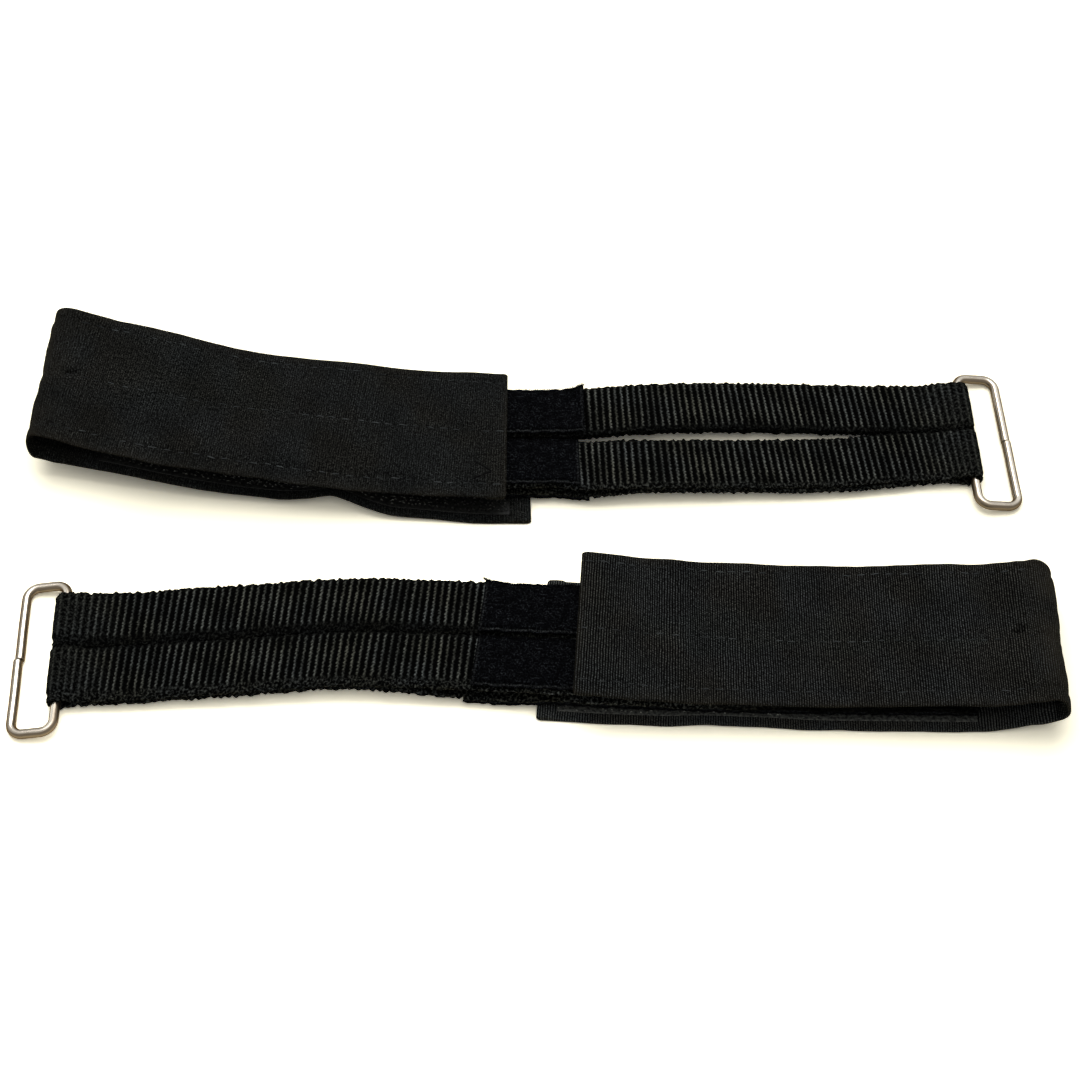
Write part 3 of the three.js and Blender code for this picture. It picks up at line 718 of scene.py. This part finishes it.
def webbing_band(strap, side):
    """One webbing, from the tongue's lower end round the ring's bar to its upper end. Its
    outer face is a row of half-round ribs square to its length, whose cords make a lumpy
    selvage. The lower run hangs and spills out from under the upper."""
    hand = hand_of(strap, side)
    fine = quarter_loop + strap.pile_start[side] + 6
    close = 0.8
    tongue = np.linspace(fine, webbing_reach - close, 70)
    tip = webbing_reach - round_rows(close, 5)[-2::-1]
    # The lower run hardly shows, the far one least, so its rows stand further apart.
    spacings = 0.3, {"near": 0.36, "far": 0.5}[side]
    upper_run, lower_run = (np.r_[np.arange(0, fine, spacing), tongue, tip] for spacing in spacings)
    s = np.r_[-lower_run[:0:-1], upper_run]
    y, d, widths = flat_oval(webbing_width, webbing_thickness, 34, 8)
    reach = np.abs(s)
    turn = np.minimum(reach, quarter_loop) / loop_middle
    x = np.maximum(reach - quarter_loop, 0) - loop_middle * np.cos(turn)
    lower = np.where(s < 0, 1.0, 0.0)
    run = run_inner + webbing_thickness / 2 + (loop_inner - run_inner) * (1 - ease(x, 0, loop_run))
    sag = lower * strap.sag(np.maximum(x, 0)) * (side == "near")
    run = np.where(reach < quarter_loop, loop_middle * np.sin(turn), run + sag)
    normal_x, normal_z = -np.cos(turn), np.where(s < 0, -1, 1) * np.sin(turn)
    phase = s / webbing_rib + 0.1 * ripple(3 + hand, 25, s, 0)
    crest = np.sqrt(np.clip(1 - (2 * (phase % 1) - 1) ** 2, 0, 1))[:, None]
    closing = quarter_round((webbing_reach - reach) / close)[:, None]
    outer = (d > 0)[None]
    from_near, from_far = webbing_width / 2 + strap.hand * y, webbing_width / 2 - strap.hand * y
    ribbed = ease(from_near, strap.selvage - 0.5, strap.selvage + 0.6) * ease(from_far, 0.3, 1.4)
    ribbed = np.where(outer, ribbed, 0)
    offset = np.where(outer, d - rib_depth * (1 - crest * ribbed) * (d / d.max()) + 0.1, d)
    rim = ease(np.abs(y), webbing_width / 2 - 1.6, webbing_width / 2 - 0.3)[None]
    knots = ripple(31 + hand, 1.3, s[:, None], widths[None, :-1])
    offset = (offset + 0.07 * ripple(11, 3, s[:, None], y[None]) + 0.32 * (1 - ribbed) * knots) * closing
    lumps = 0.5 * (crest - 0.5) + 0.3 * ripple(29 + hand, 2.4, s[:, None], widths[None, :-1])
    rim = rim * np.sign(y)[None]
    spill = (lower * strap.spill(np.maximum(x, 0)) * (side == "near") * hand)[:, None]
    bow = hand * strap.bow[side](np.maximum(x, 0))[:, None]
    bench_y = hand * band_offset + y[None] + rim * lumps + spill + bow
    points = carry(strap, strap.tongue_height, x[:, None] + normal_x[:, None] * offset, bench_y,
                   (np.sign(s) * run)[:, None] + normal_z[:, None] * offset)
    # Pressed smooth in the loop. Inside the cuff the webbing is painted into shade under the flap, and
    # painted lighter at the cuff's mouth.
    pressed = 0.45 + 0.55 * ease(reach, 4, 26)
    shade_from = strap.flap_start + strap.webbing_dark
    pale = (1 - 0.85 * ease(x, shade_from, shade_from + 38)) * strap.webbing_pale
    pale = pale + strap.mouth_pale * bell(x - strap.flap_start - 16, 24)
    shown = np.where(strap.hand * y < 0, 1.0 if side == "near" else 0.3, 0.3)
    knotted = np.maximum((1 - ribbed) * shown, 0.9 * (1 - pressed[:, None]))
    marks = {"ribbed": ribbed * pressed[:, None], "knotted": knotted, "across": y[None],
             "pale": pale[:, None]}
    return sleeve(f"webbing_band_{side}_{strap.name}", points, phase * webbing_rib, widths, webbing_material,
                  marks)


for strap in straps:
    for side in ("far", "near"):
        band = webbing_band(strap, side)
        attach(band, f"strap_{strap.name}")
        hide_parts(f"webbing_{side}_{strap.name}")


# The soft pile on the webbings' ends.


def pile_place(strap, side, face, x, y, offset):
    """The pile's point across and up the bench: on the upper run, or under the lower, which
    sags and spills out on the near side."""
    hand = hand_of(strap, side)
    y = y + hand * (band_offset + strap.bow[side](x))
    middle = pile_inner + pile_thickness / 2 + offset
    if face == "top":
        return y, middle
    low = side == "near"
    return y + hand * low * (strap.spill(x) + 1.0), -(middle + low * strap.sag(x))


def pile_strip(strap, side, face):
    """Loop pile on one face of a webbing: a flat woven selvage along both edges, and between
    them a soft pad whose shoulders roll down to it, uneven as brushed loops are."""
    hand = hand_of(strap, side)
    start = strap.pile_start[side] if face == "top" else strap.pile_start["near"] - 3
    close = 0.5
    round_end = round_rows(close, 5)
    shown = np.arange(start + 1, start + pile_shown, 0.8)
    covered = np.arange(start + pile_shown, tongue_end - 0.6, 1.2)
    x = np.r_[start + round_end, shown, covered, tongue_end - round_end[::-1]][:, None]
    y, d, widths = flat_oval(pile_width, pile_thickness, 60)
    closing = quarter_round(np.minimum(x - start, tongue_end - x) / close)
    pad = ease(pile_width / 2 - np.abs(y), 0.9, 2.0)[None]
    uneven = 0.14 * ripple(41 + hand, 2.2, x, y[None]) + 0.1 * ripple(17, 7, x, y[None])
    top = -pile_thickness / 2 + pile_selvage + pad * (pile_thickness - pile_selvage + uneven)
    offset = np.where(d[None] > 0, top * d[None] / d.max(), d[None]) * closing
    curled = 1.3 if side == "far" and face == "top" else 0
    offset = offset + curled * (ease(hand * y, 4, 9)[None] * bell(x - start, 5))
    frayed = 0.25 * ripple(7 + hand, 2.5, x, 30 * np.sign(y)[None]) * (1 - pad)
    lean = 0.6 * (y[None] / pile_width) * (1 - ease(x, start, start + 12)) * (1 if face == "top" else 0)
    points = carry(strap, strap.tongue_height, x + lean,
                   *pile_place(strap, side, face, x, y[None] + frayed, offset))
    marks = {"across": -strap.hand * y[None], "along": x - start}
    strip = sleeve(f"pile_{face}_{side}_strip_{strap.name}", points, x[:, 0], widths, pile_material, marks)
    return strip, start


def pile_fuzz(strap, side, face, start):
    """Loose loops of the pile: short spikes strewn over it, thickest near its shown end and
    along its edges, that lean every way."""
    hand, sign = hand_of(strap, side), 1 if face == "top" else -1
    random = np.random.default_rng(101 + 2 * hand + sign + (5 if strap.name == "a" else 0))
    shown, hidden, rim = (7000, 2500, 1600) if face == "top" else (500, 2500, 300)
    x = np.r_[random.uniform(start + 0.2, start + pile_shown, shown),
              random.uniform(start + pile_shown, tongue_end - 0.4, hidden),
              random.uniform(start, start + 60, rim)]
    y = np.r_[random.uniform(-0.5, 0.5, shown + hidden) * (pile_width - 2.4),
              random.choice([-1.0, 1.0], rim) * random.uniform(pile_width / 2 - 1.2, pile_width / 2, rim)]
    tip = random.normal(0, 0.2, (x.size, 3))
    tip[:, 2] = random.uniform(0.1, 0.5, x.size)
    tip[-rim:, 1] += np.sign(y[-rim:]) * random.uniform(0, 0.7, rim) ** 2
    # The outer corner of the shown end is frayed: its hairs are long and stick out.
    tuft = 60 if face == "top" and side == "far" else 0
    frayed = np.arange(x.size - tuft, x.size)
    x[frayed], y[frayed] = start + random.uniform(0, 3, tuft) ** 2 / 4, hand * (pile_width / 2 - 0.3)
    tip[frayed] = np.stack([-random.uniform(0, 1.3, tuft), hand * random.uniform(0.3, 1.4, tuft),
                            random.uniform(0, 0.8, tuft)], -1)
    angle = np.arange(3) * 2 * np.pi / 3 + random.uniform(0, 2 * np.pi, (x.size, 1))
    foot = 0.07 * np.stack([np.cos(angle), np.sin(angle), np.zeros_like(angle)], -1)
    curl = (1.3 if tuft else 0) * ease(hand * y, 4, 9) * bell(x - start, 5)
    spike = np.stack([x, y, pile_thickness / 2 - 0.2 + curl], -1)[:, None]
    spike = np.concatenate([spike + foot, spike + tip[:, None]], axis=1)
    points = carry(strap, strap.tongue_height, spike[..., 0],
                   *pile_place(strap, side, face, spike[..., 0], spike[..., 1], spike[..., 2]))
    corners = np.array([(0, 1, 3), (1, 2, 3), (2, 0, 3), (0, 2, 1)])
    faces = (np.arange(x.size)[:, None, None] * 4 + corners).reshape(-1, 3)
    uv = spike.reshape(-1, 3)[faces.ravel(), :2] * MM
    marks = {"across": 0 * spike[..., 1], "along": 5 + 0 * spike[..., 1]}
    return make_mesh(f"pile_{face}_{side}_fuzz_{strap.name}", points.reshape(-1, 3), faces, uv, marks,
                     pile_material)


for strap in straps:
    for side in ("far", "near"):
        for face in ("top", "under"):
            strip, start = pile_strip(strap, side, face)
            fuzz = pile_fuzz(strap, side, face, start)
            for piece in (strip, fuzz):
                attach(piece, f"strap_{strap.name}")
            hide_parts(f"pile_{face}_{side}_{strap.name}")


# The cuffs.

fold_length = np.pi * fabric_middle


class Cuff:
    """The cuff's band as a path: the flap from its free end to the fold, half a circle round
    the layers, and the base back to its own free end."""

    def __init__(self, strap):
        self.strap = strap
        self.free_end = {"flap": strap.flap_start, "base": strap.base_start}
        self.flap_length = fold_start - strap.flap_start
        self.fold_end = self.flap_length + fold_length
        self.total = self.fold_end + (fold_start - strap.base_start)

    def place(self, s, y, d):
        """The point at running length s, y across the band and d out from its middle. Round
        the fold the height goes over from the flap's curve to the base's."""
        strap = self.strap
        s, y, d = (np.array(v, float) for v in np.broadcast_arrays(s, y, d))
        turn = np.clip((s - self.flap_length) / fabric_middle, 0, np.pi)
        flat = np.minimum(s, self.flap_length) - np.maximum(s - self.fold_end, 0)
        x = strap.flap_start + flat + (fabric_middle + d) * np.sin(turn) * strap.fold_reach
        z = (fabric_middle + d) * np.cos(turn)
        share = ((1 + np.cos(turn)) / 2)[..., None]
        curl = strap.far_curl(x) * ease(strap.hand * y, 14, 27)
        tuck = strap.hand * strap.tuck(x) * ease(-strap.hand * y, 10, 24)
        above = carry(strap, strap.flap_height, x, y + tuck, z + curl)
        below = carry(strap, strap.base_height, x, y + strap.base_sway(x), z)
        return above * share + below * (1 - share)

    def lining(self, half, x, y, out):
        """The point inside the flap or the base at x and y, out from the middle of the stack."""
        strap = self.strap
        if half == "flap":
            return carry(strap, strap.flap_height, x, y, out)
        return carry(strap, strap.base_height, x, y + strap.base_sway(x), -out)

    def relief(self, s, y):
        """How far the band's cloth stands out from flat: hollows along the stitches, deeper
        between them, soft waves, and slanting creases that die away from the fold."""
        hollow = sum(bell(y - row, 1.2) for row in self.strap.rows)
        pull = 0.26 + 0.12 * np.cos(2 * np.pi * s / stitch_pitch)
        from_fold = np.abs(s - self.flap_length - fold_length / 2)
        crease = np.sin(0.62 * y + 0.75 * s + 2 * ripple(9, 18, s, y)) * bell(from_fold - 9, 9)
        wave = 0.2 * ripple(5, 24, s, y) + 0.1 * ripple(23, 8, s, y)
        aside, beside = s + self.strap.flap_start - self.strap.pucker[0], y - self.strap.pucker[1]
        across_dimple = beside - 0.3 * aside
        dimple = 2.0 * np.exp(-(aside / 2) ** 2 - (across_dimple / 0.9) ** 2)
        lip = 0.5 * np.exp(-(aside / 3) ** 2 - ((across_dimple - 1.8) / 0.9) ** 2)
        pull = pull * (1 + 1.4 * bell(from_fold - 6, 9))
        return wave + 0.22 * crease - hollow * pull - dimple + lip


def cuff_sleeve(cuff, part, first, last, spacing):
    """A part of the cuff's band, from first to last. A free end is rounded and thickened
    inwards by its turned-in hem; where the band runs on it is cut square."""
    close = 0.6
    rounded = round_rows(close, 6)
    s = np.linspace(first, last, int((last - first) / spacing) + 1)
    if part == "flap":
        s = np.r_[first + rounded, s[s > first + close * 1.2]]
    if part == "base":
        s = np.r_[s[s < last - close * 1.2], last - rounded[::-1]]
    s = s[:, None]
    y, d, widths = flat_oval(cuff_width, fabric_thickness, 96)
    from_end = np.minimum(s, cuff.total - s)
    closing = quarter_round(from_end / close)
    hem = 1 - ease(from_end, hem_length - 1, hem_length)
    inner = d[None] * (1 + hem * 2 * (fabric_inner - hook_inner) / fabric_thickness)
    offset = np.where(d[None] > 0, d[None], inner) * closing
    corner = np.maximum(1 - from_end / 1.6, 0)
    to_crest = np.abs(s - cuff.flap_length - fold_length / 2)
    drawn = cuff.strap.fold_drawn * bell(to_crest, 5) * (cuff.strap.hand * y[None] > 0)
    edge = np.sign(y)[None]
    wobble = 0.12 * ripple(53, 21, s, 40 * edge) * ease(np.abs(y), 15, 25)[None] * edge
    bench_y = cuff_shift + y[None] * (1 - 0.03 * corner ** 2 - drawn) + wobble
    points = cuff.place(s, bench_y, offset + cuff.relief(s, bench_y) * closing)
    rim = np.clip((np.abs(y) - cuff_width / 2 + 4.5) / 4.5, 0, 1)[None]
    wear = bell(to_crest, 9) + 0.55 * rim ** 2 + 0.5 * bell(from_end, 1.5)
    marks = {"wear": np.clip(wear, 0, 1) * (d[None] > -0.3), "rubbed": cuff.strap.rubbed,
             "pale": cuff.strap.cuff_pale[part]}
    return sleeve(f"cuff_{part}_cloth_{cuff.strap.name}", points, s[:, 0], widths, cuff_material, marks,
                  capped=True)


def stitches(cuff, name, s, y, heading, length, proud):
    """Stitches as short rounded threads pressed into the cloth: each is a tube with rounded
    ends, centred at s and y, that heads along the band or aslant and arches a little."""
    rings, sides = 9, 8
    t = np.sin(np.linspace(-np.pi / 2, np.pi / 2, rings))[None, :, None]
    angle = np.linspace(0, 2 * np.pi, sides, endpoint=False)[None, None]
    s, y, heading, length = (v[:, None, None] for v in (s, y, heading, length))
    swell = thread_radius * np.sqrt(np.clip(1 - t ** 4, 0, 1)) * (1.6 - 0.6 * proud[:, None, None])
    along, side = length / 2 * t, swell * np.cos(angle)
    place_s = s + along * np.cos(heading) - side * np.sin(heading)
    place_y = y + along * np.sin(heading) + side * np.cos(heading)
    top = fabric_thickness / 2 + cuff.relief(s, y)
    points = cuff.place(place_s, place_y, top + 0.12 * (1 - t ** 2) - 0.04 + swell * np.sin(angle))
    faces, _, _ = grid_faces(rings, sides, True)
    faces = faces[None] + (np.arange(len(points)) * rings * sides)[:, None, None]
    marks = {"proud": np.repeat(proud, rings * sides)}
    return make_mesh(name, points.reshape(-1, 3), faces.reshape(-1, 4), None, marks, thread_material)


def stitch_plan(cuff, first, last):
    """Where the stitches of a stretch lie: three rows along the band, each stitch a little
    off its place, and on the free end of strap a's flap four back-tacks, as an arrowhead."""
    random = np.random.default_rng(int(61 + first))
    row_places = np.arange(first + 2.5, last - 2.5, stitch_pitch)
    s = np.tile(row_places, 3) + random.normal(0, 0.25, 3 * row_places.size)
    y = np.repeat(cuff.strap.rows, row_places.size) + random.normal(0, 0.12, s.size)
    heading = random.normal(0, 0.07, s.size)
    length = stitch_length * random.uniform(0.75, 1.1, s.size)
    proud = np.ones(s.size)
    # Strap a's back-tack is not proud: its threads stay black, as painted shade.
    if first == 0 and cuff.strap.name == "a":
        s = np.r_[s, 8.6, 5.8, 5.8, 8.6]
        y = np.r_[y, 15.0, 17.0, 18.8, 20.4]
        heading = np.r_[heading, -0.62, -0.62, 0.5, 0.5]
        length = np.r_[length, 3.2, 3.2, 3.2, 3.2]
        proud = np.r_[proud, 0, 0, 0, 0]
    return s, y, heading, length, proud


def hook_rows(cuff, half, side):
    """Rows of little hooks: each is a thin three-sided tube up a J-shaped path, leaning along
    the strap one way or the other by turns."""
    strap, hand = cuff.strap, hand_of(cuff.strap, side)
    start = cuff.free_end[half] + hem_length + 1
    columns = np.arange(-hook_width / 2 + 0.9, hook_width / 2 - 0.5, hook_pitch)
    lines = np.arange(start, tongue_end - 0.8, hook_pitch)
    x, y = (v.ravel() for v in np.meshgrid(lines, columns, indexing="ij"))
    random = np.random.default_rng({"flap": 212, "base": 210}[half] + 2 * hand)
    x = x + np.tile(np.arange(columns.size) % 2 * hook_pitch / 2, lines.size) + random.normal(0, 0.3, x.size)
    y = y + random.normal(0, 0.3, y.size)
    way = np.where(np.arange(x.size) % 2, 1.0, -1.0)[:, None, None]
    path = np.array([(0, -0.1), (0, 0.6), (0.25, 1), (0.55, 0.95), (0.62, 0.6)]) * hook_height
    thick = np.array([0.2, 0.17, 0.18, 0.2, 0.14])[:, None]
    rings, sides = len(path), 3
    angle = np.arange(sides) * 2 * np.pi / sides
    tangent = np.gradient(path, axis=0)
    tangent /= np.linalg.norm(tangent, axis=1, keepdims=True)
    bench_x = x[:, None, None] + way * (path[:, :1] + thick * np.cos(angle) * tangent[:, 1:])
    rise = path[:, 1:] - thick * np.cos(angle) * tangent[:, :1]
    bench_y = cuff_shift + hand * hook_offset + y[:, None, None] + thick * np.sin(angle)
    points = cuff.lining(half, bench_x, bench_y, hook_outer - 0.2 - rise)
    wall, _, _ = grid_faces(rings, sides, True)
    first = (np.arange(x.size) * rings * sides)[:, None, None]
    top = (rings - 1) * sides
    tips = (np.array([(top, top + 1, top + 2), (0, 2, 1)])[None] + first).reshape(-1, 3)
    quads = (wall[None] + first).reshape(-1, 4)
    faces = np.concatenate([quads[:, [0, 1, 2]], quads[:, [0, 2, 3]], tips])
    # The hooks' glint is painted: lighter towards each tip, painted into shade further in and on the flap,
    # and brighter or darker at random.
    shown = (1 - 0.9 * ease(x, *strap.hooks_dark)) * random.uniform(0.2, 1.3, x.size)
    shown = shown * {"flap": 0.2, "base": 1.0}[half]
    # On strap a the hooks nearest the cuff's mouth are painted into the flap's shade.
    if strap.name == "a":
        shown = shown * (0.25 + 0.75 * ease(x, 168, 184))
    tip = (path[:, 1:] / hook_height) ** 2 * shown[:, None, None] + 0 * bench_x
    return make_mesh(f"hook_rows_{half}_{side}_{strap.name}", points.reshape(-1, 3), faces, None,
                     {"tip": np.clip(tip, 0, 1)}, hook_material)


def hook_strip(cuff, half, side):
    """One strip of hook tape: a thin woven backing against the cuff's cloth, on which the
    hooks stand towards the pile. Gives its length too."""
    strap, hand, sign = cuff.strap, hand_of(cuff.strap, side), {"flap": 1, "base": -1}[half]
    start = cuff.free_end[half] + hem_length + layer_gap
    backing = close = 0.3
    round_end, rows = round_rows(close, 4), np.arange(start + 1, tongue_end - 0.6, 2.5)
    x = np.r_[start + round_end, rows, tongue_end - round_end[::-1]][:, None]
    y, d, widths = flat_oval(hook_width, backing, 30, 3)
    closing = quarter_round(np.minimum(x - start, tongue_end - x) / close)
    points = cuff.lining(half, x, cuff_shift + hand * hook_offset + y[None],
                         hook_outer - backing / 2 + sign * d[None] * closing)
    # The bases' backing is painted paler: partly its grey fuzz, partly painted light out of the flap's shade.
    fuzz = strap.tape_pale if half == "base" else 0
    strip = sleeve(f"hook_tape_{half}_{side}_{strap.name}", points, x[:, 0], widths, hook_material,
                   {"tip": fuzz})
    return strip, tongue_end - start


for strap in straps:
    cuff = Cuff(strap)
    body, flap = f"strap_{strap.name}", f"flap_{strap.name}"
    stretches = {
        "flap": (0, cuff.flap_length, 0.65),
        "fold": (cuff.flap_length, cuff.fold_end, 0.4),
        "base": (cuff.fold_end, cuff.total, 1.0),
    }
    # The hinge's own height at the fold: between the flap's curve and the base's.
    crest = np.array([strap_length - stack_half / 2])
    _, _, up = directions(strap, strap.flap_height, crest)
    up = up[0] * np.array([strap.hand, strap.hand, 1])
    middle = cuff.place(cuff.flap_length + fold_length / 2, cuff_shift, 0)
    for part, (first, last, spacing) in stretches.items():
        cloth = cuff_sleeve(cuff, part, first, last, spacing)
        threads = []
        if part != "fold":
            plan = stitch_plan(cuff, first, last)
            threads.append(stitches(cuff, f"cuff_{part}_stitches_{strap.name}", *plan))
        for piece in (cloth, *threads):
            if part == "fold":
                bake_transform(piece)
            else:
                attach(piece, flap if part == "flap" else body)
        if part != "fold":
            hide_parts(f"cuff_{part}_{strap.name}")
    for half in ("flap", "base"):
        for side in ("far", "near"):
            strip, length = hook_strip(cuff, half, side)
            field = hook_rows(cuff, half, side)
            for piece in (strip, field):
                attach(piece, flap if half == "flap" else body)
            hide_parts(f"hook_{half}_{side}_{strap.name}")


# The table and the light.


def seen_directly(tree):
    """1 for what the camera sees, straight or through gloss or glass, and 0 for other rays."""
    ray = add(tree, "LightPath", {})
    seen = add(tree, "Math", [ray.outputs["Is Camera Ray"], ray.outputs["Is Glossy Ray"]], operation="ADD")
    return add(tree, "Math", [seen, ray.outputs["Is Transmission Ray"]], operation="ADD", use_clamp=True)


def white_table(name, half_side, height):
    """A level white sheet of matt card under everything. What the camera and reflections see
    of it clips to white, as in the photograph, except where shadow falls, and far from the
    straps it goes over to plain white light."""
    corners = np.array([(-1, -1, 0), (1, -1, 0), (1, 1, 0), (-1, 1, 0)], float) * half_side
    corners[:, 2] = height
    material = bpy.data.materials.new("matt_white_card")
    material.use_nodes = True
    tree = material.node_tree
    tree.nodes.clear()
    seen = seen_directly(tree)
    place = add(tree, "TexCoord", {}).outputs["Object"]
    grain = add(tree, "TexNoise", {"Vector": place, "Scale": 1 / (1.5 * MM), "Detail": 3.0})
    distance = add(tree, "VectorMath", [place], operation="LENGTH").outputs["Value"]
    # A painted pool of light lifts the shadows on the floor by strap b's webbing.
    painted_light_pool = add(tree, "VectorMath", [place, (-0.08, -0.07, 0)], operation="DISTANCE").outputs["Value"]
    painted_light_pool = add(tree, "MapRange", [painted_light_pool, 0.04, 0.17, 1.0, 0.0], interpolation_type="SMOOTHSTEP")
    white_and_painted_light = add(tree, "Mix", [painted_light_pool, linear("ffffff", 1.6), linear("ffffff", 2.4)], data_type="RGBA")
    # A painted shadow darkens the floor beside strap a's cuff.
    painted_shadow = add(tree, "VectorMath", [place, (-0.1, 0.016, 0)], operation="DISTANCE").outputs["Value"]
    painted_shadow = add(tree, "MapRange", [painted_shadow, 0.02, 0.085, 0.62, 1.0], interpolation_type="SMOOTHSTEP")
    white_and_painted_light = add(tree, "VectorMath", [white_and_painted_light, painted_shadow], operation="SCALE")
    colour = add(tree, "Mix", [seen, linear("efe9dd"), white_and_painted_light], data_type="RGBA")
    tone = add(tree, "Mix", [grain, (0.99, 0.92, 0.71, 1), (1.0, 0.96, 0.79, 1)], data_type="RGBA")
    colour = add(tree, "Mix", [1.0, colour, tone], data_type="RGBA", blend_type="MULTIPLY")
    matt = add(tree, "BsdfDiffuse", [colour])
    away = add(tree, "MapRange", [distance, 0.3, 0.8, 0.03, 1.0], interpolation_type="SMOOTHSTEP")
    glow = add(tree, "Emission", [(1, 1, 1, 1), add(tree, "Math", [seen, away], operation="MULTIPLY")])
    both = add(tree, "AddShader", [matt, glow])
    add(tree, "OutputMaterial", [both])
    table = make_mesh(name, corners, np.array([(0, 1, 2, 3)]), None, None, material)


white_table("table", 8.0, -0.0001)

room_strength = 0.38
world = bpy.data.worlds.new("room")
world.use_nodes = True
bpy.context.scene.world = world
tree = world.node_tree
backdrop = tree.nodes["Background"]
strength = add(tree, "MapRange", [seen_directly(tree), 0.0, 1.0, room_strength, 1.0])
tree.links.new(strength.outputs[0], backdrop.inputs["Strength"])
backdrop.inputs["Color"].default_value = (1, 1, 1, 1)

lamps = {
    "window": {"place": (-0.1, 0.55, 1.05), "size": 1.3, "power": 13.0},
    "ceiling": {"place": (0.25, -0.3, 1.25), "size": 1.4, "power": 4.0},
}
for name, lamp in lamps.items():
    data = bpy.data.lights.new(name, "AREA")
    data.shape, data.size, data.energy = "DISK", lamp["size"], lamp["power"]
    light = bpy.data.objects.new(name, data)
    light.location = lamp["place"]
    toward = -np.array(lamp["place"])
    lean, heading = math.acos(-toward[2] / np.linalg.norm(toward)), math.atan2(toward[0], -toward[1])
    light.rotation_euler = (lean, 0, heading)
    bpy.context.scene.collection.objects.link(light)

bpy.context.scene.view_settings.view_transform = "Standard"
